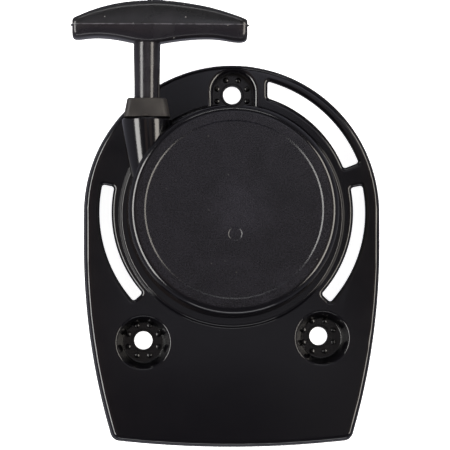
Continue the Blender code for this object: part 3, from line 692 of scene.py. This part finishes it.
def flash_nib(x):
    """The stub of flash at each end of the parting line."""
    bpy.ops.mesh.primitive_cube_add(size=1.0, location=(x, PARTING_Y * MM + 0.4 * MM, ROPE_Z))
    nib = bpy.context.object
    begin(nib)
    bpy.ops.mesh.select_all(action="SELECT")
    bpy.ops.transform.resize(value=FLASH_SIZE, center_override=nib.location)
    bpy.ops.mesh.bevel(offset=0.25 * MM, segments=2, affect="EDGES")
    done()
    bpy.ops.object.transform_apply(location=True, rotation=True, scale=True)
    return nib


def grip_moulding():
    """Bar and stem in one, bored for the rope, with a round pocket for the knot in the crown."""
    grip = grip_bar()
    weld(grip, along_rope(turn("stem", in_metres(STEM), 64)), parting_line())
    weld(grip, flash_nib(BAR_STATIONS[0] * MM), flash_nib(BAR_STATIONS[-1] * MM))
    bore = rod("bore", GRIP_BORE_R, 48.0 * MM, 88.0 * MM, 24)
    pocket = turn("pocket", in_metres(KNOT_POCKET), 48)
    cut(grip, along_rope(bore), along_rope(pocket, GRIP_POCKET_X))
    grip.name = grip.data.name = "grip_moulding"
    return grip


def knot_cap():
    """Domed plug in the crown, with the small flat boss it is pressed in by."""
    cap = along_rope(turn("knot_cap", in_metres(CAP_DOME), 48), GRIP_POCKET_X)
    weld(cap, along_rope(turn("cap_boss", in_metres(CAP_BOSS), 40), CAP_BOSS_X))
    return cap


def guide_block():
    """The bushing: a tapered block, rounded on the left and chamfered on the right, with a pull-in nib."""
    low, high = BUSH_Y
    wide, narrow = BUSH_HALF
    bpy.ops.object.select_all(action="DESELECT")
    bpy.ops.mesh.primitive_cube_add(size=2 * wide, location=(ROPE_X, low + wide, ROPE_Z))
    block = bpy.context.object
    block.name = block.data.name = "guide_block"
    bpy.ops.object.transform_apply(location=True, rotation=True, scale=True)
    begin(block)
    pick(block, "faces", lambda c, n: n.y > 0.9)
    bpy.ops.transform.translate(value=(0.0, high - low - 2 * wide, 0.0))
    pick(block, "faces", lambda c, n: n.y > 0.9)
    taper = narrow / wide
    bpy.ops.transform.resize(value=(taper, 1.0, taper), center_override=(ROPE_X, high, ROPE_Z))
    for right, (size, steps) in ((False, BUSH_LEFT), (True, BUSH_RIGHT)):
        bpy.ops.mesh.select_all(action="DESELECT")
        bpy.ops.mesh.select_mode(type="EDGE")
        bm = bmesh.from_edit_mesh(block.data)
        for edge in bm.edges:
            a, b = (v.co for v in edge.verts)
            lengthways = abs(a.y - b.y) > 5 * MM
            outermost = abs(a.x - ROPE_X) > 0.95 * abs(a.z - ROPE_Z)
            if lengthways and outermost and (a.x > ROPE_X) == right:
                edge.select_set(True)
        bmesh.update_edit_mesh(block.data)
        bpy.ops.mesh.bevel(offset=size, segments=steps, profile=0.5, affect="EDGES")
    pick(block, "faces", lambda c, n: n.y > 0.9)
    bpy.ops.mesh.bevel(offset=0.7 * MM, segments=4, profile=0.5, affect="EDGES")
    done()
    weld(block, along_rope(rod("shank", SHANK_R, SPOUT_Y - 5.5 * MM, low + REACH, 48)))
    floor, (seat_r, mouth_r) = high - BUSH_SEAT_DEPTH, BUSH_SEAT_R
    profile = [(0.0, floor), (seat_r, floor), (seat_r, high - 0.5 * MM), (mouth_r, high + 0.3 * MM)]
    profile += [(mouth_r, high + REACH), (0.0, high + REACH)]
    seat = turn("seat", profile, 64)
    bore = rod("bore", BUSH_BORE_R, SPOUT_Y - 7 * MM, high, 32)
    cut(block, along_rope(seat), along_rope(bore))
    behind = ROPE_Z + 0.5 * (wide + narrow) - REACH
    corners = [Vector((ROPE_X + x, low + y, behind)) for x, y in in_metres(BUSH_NIB)]
    nib = start_point("nib", corners[0])
    for a, b in zip(corners, corners[1:]):
        draw_to(a, b)
    fill_and_raise((0.0, 0.0, BUSH_NIB_H))
    done()
    weld(block, nib)
    return block


def rope_run():
    """The straight run of rope, ringed closely where it is drawn out of the bushing."""
    (start, end), (low, high) = BLEND_Y, ROPE_ENDS_Y
    rings = [12.0, 24.0, 36.0, 42.0]
    rings += [start + (end - start) * k / ROPE_RINGS for k in range(ROPE_RINGS + 1)]
    rings += [60.0, 72.0, 88.0]
    profile = [(0.0, low * MM)] + [(ROPE_R, y * MM) for y in [low] + rings]
    profile += [(0.75 * ROPE_R, high * MM), (0.0, high * MM)]
    return along_rope(turn("rope_run", profile, 20))


def rope_turns():
    """The rope wound on the reel: four turns in two layers, as one tube on a spiral."""
    points = []
    turns = len(TURN_STOPS) - 1
    for k in range(turns * TURN_STEPS + 1):
        wound = k / TURN_STEPS
        last = min(int(wound), turns - 1)
        part = max(0.0, (wound - last - TURN_CROSSING) / (1 - TURN_CROSSING))
        (r0, z0), (r1, z1) = TURN_STOPS[last:last + 2]
        x, y, _ = on_circle((r0 + (r1 - r0) * part) * MM, TURN_START + 360.0 * wound)
        points.append((x, y, (z0 + (z1 - z0) * part) * MM))
    data = bpy.data.curves.new("rope_turns", "CURVE")
    data.dimensions = "3D"
    data.bevel_depth = WOUND_R
    data.bevel_resolution = 3
    data.use_fill_caps = True
    line = data.splines.new("POLY")
    line.points.add(len(points) - 1)
    for point, place in zip(line.points, points):
        point.co = (*place, 1.0)
    rope = bpy.data.objects.new("rope_turns", data)
    bpy.context.scene.collection.objects.link(rope)
    choose(rope)
    bpy.ops.object.convert(target="MESH")
    rope = bpy.context.object
    begin(rope)
    clean()
    done()
    return rope


# ---------------------------------------------------------------- materials

def linear(hex_colour):
    """An sRGB hex value as a linear colour."""
    parts = [int(hex_colour[i:i + 2], 16) / 255 for i in (1, 3, 5)]
    return (*[c / 12.92 if c <= 0.04045 else ((c + 0.055) / 1.055) ** 2.4 for c in parts], 1.0)


def new_material(name, colour, roughness, ior=1.5, metallic=0.0):
    """A material whose shader starts from even values."""
    mat = bpy.data.materials.new(name)
    mat.use_nodes = True
    shader = mat.node_tree.nodes["Principled BSDF"]
    shader.inputs["Base Color"].default_value = linear(colour)
    shader.inputs["Roughness"].default_value = roughness
    shader.inputs["Metallic"].default_value = metallic
    if not metallic:
        shader.inputs["IOR"].default_value = ior
    return mat, shader


def add(mat, kind, settings, inputs, output=0):
    """Add one node with its settings, set or link its inputs, and give back one of its outputs."""
    node = mat.node_tree.nodes.new("ShaderNode" + kind)
    for name, value in settings.items():
        setattr(node, name, value)
    for key, value in inputs.items():
        if isinstance(value, bpy.types.NodeSocket):
            mat.node_tree.links.new(value, node.inputs[key])
        else:
            node.inputs[key].default_value = value
    return node.outputs[output]


SMOOTH = {"interpolation_type": "SMOOTHSTEP"}


def black_abs():
    """Black ABS from a polished mould: a wet-looking plate whose reflections wander, and a drum top with
    a fine matte grain, a pale bloom where the melt met and some dust. Whatever lies low, the pockets'
    floors and the skirt's foot, is duller, and is painted darker as painted shade."""
    mat, shader = new_material("black_abs_moulded", "#0c0c0d", 0.15, 1.53)
    place = add(mat, "TexCoord", {}, {}, "Object")
    height = add(mat, "SeparateXYZ", {}, {0: place}, "Z")
    flat = add(mat, "VectorMath", {"operation": "MULTIPLY"}, {0: place, 1: (1.0, 1.0, 0.0)})
    radius = add(mat, "VectorMath", {"operation": "LENGTH"}, {0: flat}, "Value")
    high = add(mat, "MapRange", SMOOTH, {0: height, 1: DRUM_Z - 1.6 * MM, 2: DRUM_Z - 0.5 * MM})
    inside = add(mat, "MapRange", SMOOTH, {0: radius, 1: DRUM_HIGH_R - 4.0 * MM, 2: DRUM_HIGH_R - 2.6 * MM,
                                            3: 1.0, 4: 0.0})
    matte = add(mat, "Math", {"operation": "MULTIPLY"}, {0: high, 1: inside})
    cloud = add(mat, "TexNoise", {}, {"Vector": place, "Scale": 1 / (9 * MM), "Detail": 4.0})
    grain = add(mat, "TexNoise", {}, {"Vector": place, "Scale": 1 / (0.7 * MM), "Detail": 3.0})
    glossy = add(mat, "MapRange", SMOOTH, {0: cloud, 1: 0.35, 2: 0.7, 3: 0.095, 4: 0.12})
    raised = add(mat, "MapRange", SMOOTH, {0: height, 1: PLATE_Z + 1.5 * MM, 2: PLATE_Z + 4.0 * MM})
    glossy = add(mat, "Mix", {"data_type": "FLOAT"}, {0: raised, 2: glossy, 3: 0.14})
    # 0 for what lies low: duller there, and darkened below with painted shade
    low_dull_and_painted_shade = add(mat, "MapRange", SMOOTH, {0: height, 1: SEAT_Z + 2.0 * MM, 2: SEAT_Z + 5.0 * MM})
    glossy = add(mat, "Mix", {"data_type": "FLOAT"}, {0: low_dull_and_painted_shade, 2: 0.24, 3: glossy})
    flow = add(mat, "TexNoise", {}, {"Vector": place, "Scale": 1 / (22 * MM), "Detail": 5.0,
                                     "Distortion": 1.6})
    mottle = add(mat, "Math", {"operation": "MULTIPLY_ADD"}, {0: flow, 1: 0.45, 2: grain})
    dull = add(mat, "MapRange", {}, {0: mottle, 1: 0.5, 2: 0.95, 3: 0.23, 4: 0.31})
    rough = add(mat, "Mix", {"data_type": "FLOAT"}, {0: matte, 2: glossy, 3: dull})
    cells = add(mat, "TexVoronoi", {}, {"Vector": place, "Scale": 1 / (7 * MM)}, "Distance")
    speck = add(mat, "MapRange", SMOOTH, {0: cells, 1: 0.02, 2: 0.05, 3: 0.5, 4: 0.0})
    dust = add(mat, "Math", {"operation": "MULTIPLY"}, {0: speck, 1: matte})
    part = add(mat, "MapRange", {}, {0: mottle, 1: 0.5, 2: 0.95})
    chalk = add(mat, "Mix", {"data_type": "RGBA"}, {0: part, 6: linear("#050508"), 7: linear("#15141b")}, 2)
    off_middle = add(mat, "VectorMath", {"operation": "DISTANCE"}, {0: place, 1: BLOOM_AT}, "Value")
    bloom = add(mat, "MapRange", SMOOTH, {0: off_middle, 1: 2 * MM, 2: 19 * MM, 3: 1.0, 4: 0.0})
    bloom = add(mat, "Math", {"operation": "MULTIPLY"}, {0: bloom, 1: flow})
    chalk = add(mat, "Mix", {"data_type": "RGBA"}, {0: bloom, 6: chalk, 7: linear("#24232a")}, 2)
    tone = add(mat, "Mix", {"data_type": "RGBA"}, {0: matte, 6: linear("#0b0a0d"), 7: chalk}, 2)
    # painted shade: what lies low, the pockets' floors and the skirt's foot, is painted near black
    tone = add(mat, "Mix", {"data_type": "RGBA"}, {0: low_dull_and_painted_shade, 6: linear("#040405"), 7: tone}, 2)
    tone = add(mat, "Mix", {"data_type": "RGBA"}, {0: dust, 6: tone, 7: linear("#6b6a66")}, 2)
    wave = add(mat, "TexNoise", {}, {"Vector": place, "Scale": 1 / (34 * MM), "Detail": 1.0})
    waved = add(mat, "Bump", {}, {"Height": wave, "Distance": 0.06 * MM})
    fine = add(mat, "Math", {"operation": "MULTIPLY"}, {0: grain, 1: matte})
    normal = add(mat, "Bump", {}, {"Height": fine, "Distance": 0.02 * MM, "Normal": waved})
    mat.node_tree.links.new(tone, shader.inputs["Base Color"])
    mat.node_tree.links.new(rough, shader.inputs["Roughness"])
    mat.node_tree.links.new(normal, shader.inputs["Normal"])
    return mat


def satin_plastic(name, dark, light, rough, grain_mm, dust_share, ior=1.49):
    """Moulded plastic from a spark-eroded mould: satin, softly clouded, with fine grain and some dust."""
    mat, shader = new_material(name, dark, rough, ior)
    place = add(mat, "TexCoord", {}, {}, "Object")
    cloud = add(mat, "TexNoise", {}, {"Vector": place, "Scale": 1 / (8 * MM), "Detail": 4.0})
    grain = add(mat, "TexNoise", {}, {"Vector": place, "Scale": 1 / (grain_mm * MM), "Detail": 3.0})
    part = add(mat, "MapRange", SMOOTH, {0: cloud, 1: 0.35, 2: 0.68})
    tone = add(mat, "Mix", {"data_type": "RGBA"}, {0: part, 6: linear(dark), 7: linear(light)}, 2)
    cells = add(mat, "TexVoronoi", {}, {"Vector": place, "Scale": 1 / (6 * MM)}, "Distance")
    dust = add(mat, "MapRange", SMOOTH, {0: cells, 1: 0.025, 2: 0.06, 3: dust_share, 4: 0.0})
    tone = add(mat, "Mix", {"data_type": "RGBA"}, {0: dust, 6: tone, 7: linear("#8a8886")}, 2)
    rough_out = add(mat, "MapRange", SMOOTH, {0: cloud, 1: 0.3, 2: 0.7, 3: rough - 0.06, 4: rough + 0.06})
    normal = add(mat, "Bump", {}, {"Height": grain, "Distance": 0.02 * MM})
    mat.node_tree.links.new(tone, shader.inputs["Base Color"])
    mat.node_tree.links.new(rough_out, shader.inputs["Roughness"])
    mat.node_tree.links.new(normal, shader.inputs["Normal"])
    return mat


def grip_polypropylene():
    """Black polypropylene: satin with sparse dust, the half below the parting line painted a little darker
    and more violet as painted shade, and the flash along that line painted pale in patches, partly scuffing
    and partly a painted highlight."""
    mat, shader = new_material("black_polypropylene_satin", "#19181b", 0.3, 1.49)
    place = add(mat, "TexCoord", {}, {}, "Object")
    up = add(mat, "SeparateXYZ", {}, {0: place}, "Y")
    cloud = add(mat, "TexNoise", {}, {"Vector": place, "Scale": 1 / (10 * MM), "Detail": 4.0})
    grain = add(mat, "TexNoise", {}, {"Vector": place, "Scale": 1 / (0.7 * MM), "Detail": 3.0})
    # painted shade: the half below the parting line is painted a little darker than the half above
    upper = add(mat, "MapRange", {}, {0: up, 1: (PARTING_Y - 0.3) * MM, 2: (PARTING_Y + 0.3) * MM})
    tone = add(mat, "Mix", {"data_type": "RGBA"}, {0: upper, 6: linear("#1d1b1f"), 7: linear("#1e1e1f")}, 2)
    part = add(mat, "MapRange", SMOOTH, {0: cloud, 1: 0.4, 2: 0.7, 4: 0.5})
    tone = add(mat, "Mix", {"data_type": "RGBA"}, {0: part, 6: tone, 7: linear("#28272a")}, 2)
    # the pale parting line is partly scuffed flash and partly a painted highlight standing in for the light
    # on the ridge
    off = add(mat, "Math", {"operation": "SUBTRACT"}, {0: up, 1: PARTING_Y * MM})
    off = add(mat, "Math", {"operation": "ABSOLUTE"}, {0: off})
    line = add(mat, "MapRange", SMOOTH, {0: off, 1: 0.12 * MM, 2: 0.30 * MM, 3: 1.0, 4: 0.0})
    scuff_and_highlight_patches = add(mat, "TexNoise", {}, {"Vector": place, "Scale": 1 / (2.5 * MM), "Detail": 2.0})
    scuff_and_highlight_patches = add(mat, "MapRange", SMOOTH, {0: scuff_and_highlight_patches, 1: 0.35, 2: 0.65, 3: 0.2, 4: 0.85})
    line = add(mat, "Math", {"operation": "MULTIPLY"}, {0: line, 1: scuff_and_highlight_patches})
    tone = add(mat, "Mix", {"data_type": "RGBA"}, {0: line, 6: tone, 7: linear("#666469")}, 2)
    cells = add(mat, "TexVoronoi", {}, {"Vector": place, "Scale": 1 / (6 * MM)}, "Distance")
    dust = add(mat, "MapRange", SMOOTH, {0: cells, 1: 0.03, 2: 0.07, 3: 0.8, 4: 0.0})
    tone = add(mat, "Mix", {"data_type": "RGBA"}, {0: dust, 6: tone, 7: linear("#a09e9c")}, 2)
    rough = add(mat, "MapRange", SMOOTH, {0: cloud, 1: 0.3, 2: 0.7, 3: 0.18, 4: 0.23})
    normal = add(mat, "Bump", {}, {"Height": grain, "Distance": 0.012 * MM})
    mat.node_tree.links.new(tone, shader.inputs["Base Color"])
    mat.node_tree.links.new(rough, shader.inputs["Roughness"])
    mat.node_tree.links.new(normal, shader.inputs["Normal"])
    return mat


def worked_metal(name, dark, light, rough, stretch, line_mm):
    """Metal with drawn or rolled marks: fine streaks in the finish and a patchy, slightly stained tone."""
    mat, shader = new_material(name, light, rough, metallic=1.0)
    place = add(mat, "TexCoord", {}, {}, "Object")
    pulled = add(mat, "VectorMath", {"operation": "MULTIPLY"}, {0: place, 1: stretch})
    lines = add(mat, "TexNoise", {}, {"Vector": pulled, "Scale": 1 / (line_mm * MM), "Detail": 3.0})
    cloud = add(mat, "TexNoise", {}, {"Vector": place, "Scale": 1 / (5 * MM), "Detail": 4.0})
    part = add(mat, "MapRange", SMOOTH, {0: cloud, 1: 0.35, 2: 0.68})
    tone = add(mat, "Mix", {"data_type": "RGBA"}, {0: part, 6: linear(dark), 7: linear(light)}, 2)
    rough_out = add(mat, "MapRange", SMOOTH, {0: lines, 1: 0.3, 2: 0.7, 3: rough - 0.07, 4: rough + 0.09})
    normal = add(mat, "Bump", {}, {"Height": lines, "Distance": 0.012 * MM})
    mat.node_tree.links.new(tone, shader.inputs["Base Color"])
    mat.node_tree.links.new(rough_out, shader.inputs["Roughness"])
    mat.node_tree.links.new(normal, shader.inputs["Normal"])
    return mat


def braided_nylon():
    """Braided starter rope: crossing diagonal strands, painted lighter on their crests as painted highlight
    and darker in the grooves as painted shade, off-white with a dark fleck.
    """
    mat, shader = new_material("braided_nylon_rope", "#c9c5ba", 0.7, 1.53)
    place = add(mat, "TexCoord", {}, {}, "Object")
    strands = []
    for slope in (1.0, -1.0):
        turned = add(mat, "Mapping", {}, {0: place, 2: (0.0, radians(18.0), radians(40.0 * slope))})
        wave = add(mat, "TexWave", {"bands_direction": "Y"}, {"Vector": turned, "Scale": 1 / (5.2 * MM)}, 1)
        strands.append(wave)
    braid = add(mat, "Math", {"operation": "MAXIMUM"}, {0: strands[0], 1: strands[1]})
    fleck = add(mat, "TexNoise", {}, {"Vector": place, "Scale": 1 / (2.4 * MM), "Detail": 1.0})
    part = add(mat, "MapRange", SMOOTH, {0: fleck, 1: 0.6, 2: 0.68, 4: 0.75})
    # painted highlight and shade: the strands' crests are painted light and the grooves between them dark
    tone = add(mat, "Mix", {"data_type": "RGBA"}, {0: braid, 6: linear("#8f8a7c"), 7: linear("#d8d4c8")}, 2)
    tone = add(mat, "Mix", {"data_type": "RGBA"}, {0: part, 6: tone, 7: linear("#33312d")}, 2)
    normal = add(mat, "Bump", {}, {"Height": braid, "Distance": 0.25 * MM})
    mat.node_tree.links.new(tone, shader.inputs["Base Color"])
    mat.node_tree.links.new(normal, shader.inputs["Normal"])
    return mat


# ---------------------------------------------------------------- the pieces in their places

def place_piece(obj, node, body, mat, angle=32.0):
    """Give a finished piece its material, and let it stand for its node on its body."""
    obj.data.materials.clear()
    obj.data.materials.append(mat)
    smooth(obj, angle)
    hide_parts(node)
    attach(obj, body)


ABS = black_abs()
GRIP_PP = grip_polypropylene()
GUIDE_PA = satin_plastic("nylon_guide_satin", "#24211f", "#33302d", 0.46, 0.5, 0.3, 1.53)
REEL_PA = satin_plastic("nylon_reel_moulded", "#1d1d1e", "#29292a", 0.36, 0.8, 0.2, 1.53)
ZINC = worked_metal("zinc_plated_steel", "#8d9093", "#b9bcbe", 0.32, (1.0, 1.0, 1.0), 0.8)
SPRING_STEEL = worked_metal("blued_spring_steel", "#4a4d55", "#7d8189", 0.3, (1.0, 1.0, 8.0), 1.2)
BRASS = worked_metal("turned_brass", "#a5813f", "#cfae62", 0.3, (1.0, 1.0, 9.0), 0.9)
ROPE = braided_nylon()

place_piece(housing_cover(), "housing_cover", "housing", ABS, 20.0)
place_piece(guide_block(), "rope_guide_bushing", "housing", GUIDE_PA)
place_piece(grip_moulding(), "grip_handle", "grip", GRIP_PP)
place_piece(knot_cap(), "grip_cap", "grip", GRIP_PP)
place_piece(rope_turns(), "rope_winding", "reel", ROPE, 80.0)

run = rope_run()
run.data.materials.append(ROPE)
smooth(run, 60.0)
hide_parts("rope_lead")
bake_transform(run)

NODE_FINISH = {
    "rope_reel": REEL_PA, "ratchet_guide": REEL_PA, "post_insert": BRASS, "centre_screw": ZINC,
    "centre_washer": ZINC, "spring_cover": ZINC, "cover_screw_1": ZINC, "cover_screw_2": ZINC,
    "cover_screw_3": ZINC, "pawl_1": ZINC, "pawl_2": ZINC, "pawl_pin_1": ZINC, "pawl_pin_2": ZINC,
    "grip_retainer": ZINC, "recoil_spring": SPRING_STEEL, "pawl_spring_1": SPRING_STEEL,
    "pawl_spring_2": SPRING_STEEL, "friction_spring": SPRING_STEEL, "reel_knot": ROPE, "grip_knot": ROPE,
}
for name, mat in NODE_FINISH.items():
    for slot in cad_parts[name].material_slots:
        slot.material = mat


# ---------------------------------------------------------------- camera, light, floor

def aim(obj, target):
    """Turn a camera or light to a point, with the picture's upright along +Y."""
    ahead = (Vector(target) - obj.location).normalized()
    right = ahead.cross(Vector((0.0, 1.0, 0.0))).normalized()
    obj.rotation_euler = Matrix((right, right.cross(ahead), -ahead)).transposed().to_euler()


def add_camera():
    """Straight above the cover, a little towards its foot."""
    data = bpy.data.cameras.new("camera")
    camera = bpy.data.objects.new("camera", data)
    bpy.context.scene.collection.objects.link(camera)
    camera.location = CAMERA_AT
    aim(camera, CAMERA_TO)
    data.lens = CAMERA_LENS
    data.sensor_width = 36.0
    bpy.context.scene.camera = camera


def softbox(name, place, size, power, colour):
    data = bpy.data.lights.new(name, "AREA")
    data.color = linear(colour)[:3]
    data.shape = "RECTANGLE"
    data.size, data.size_y = size
    data.energy = power
    light = bpy.data.objects.new(name, data)
    bpy.context.scene.collection.objects.link(light)
    light.location = place
    aim(light, (0.0, 0.0, 20 * MM))


def add_floor():
    """A pale table that glows a little, as a lit white sweep does."""
    bpy.ops.object.select_all(action="DESELECT")
    bpy.ops.mesh.primitive_plane_add(size=8.0, location=(0.0, 0.0, -0.2 * MM))
    floor = bpy.context.object
    floor.name = "floor"
    mat, shader = new_material("pale_table", "#e6e6e6", 0.9)
    shader.inputs["Emission Color"].default_value = (1.0, 1.0, 1.0, 1.0)
    shader.inputs["Emission Strength"].default_value = FLOOR_GLOW
    floor.data.materials.append(mat)
    floor.visible_diffuse = False
    floor.visible_glossy = False


def add_world():
    """A room that is dim overhead and brightens down to the grey of a table seen from the side."""
    world = bpy.data.worlds.new("studio")
    world.use_nodes = True
    tree = world.node_tree
    background = tree.nodes["Background"]
    place = tree.nodes.new("ShaderNodeTexCoord")
    split = tree.nodes.new("ShaderNodeSeparateXYZ")
    level = tree.nodes.new("ShaderNodeMapRange")
    limits = {"From Min": HORIZON[0], "From Max": HORIZON[1], "To Min": TABLE_LEVEL, "To Max": ROOM_LEVEL}
    for socket, value in limits.items():
        level.inputs[socket].default_value = value
    level.interpolation_type = "SMOOTHSTEP"
    tree.links.new(place.outputs["Generated"], split.inputs[0])
    tree.links.new(split.outputs["Z"], level.inputs["Value"])
    tree.links.new(level.outputs["Result"], background.inputs["Strength"])
    background.inputs["Color"].default_value = linear("#e2e2f2")
    bpy.context.scene.world = world


add_camera()
add_floor()
add_world()
for name, place, size, power, colour in SOFTBOXES:
    softbox(name, place, size, power, colour)
bpy.context.scene.view_settings.view_transform = "Standard"
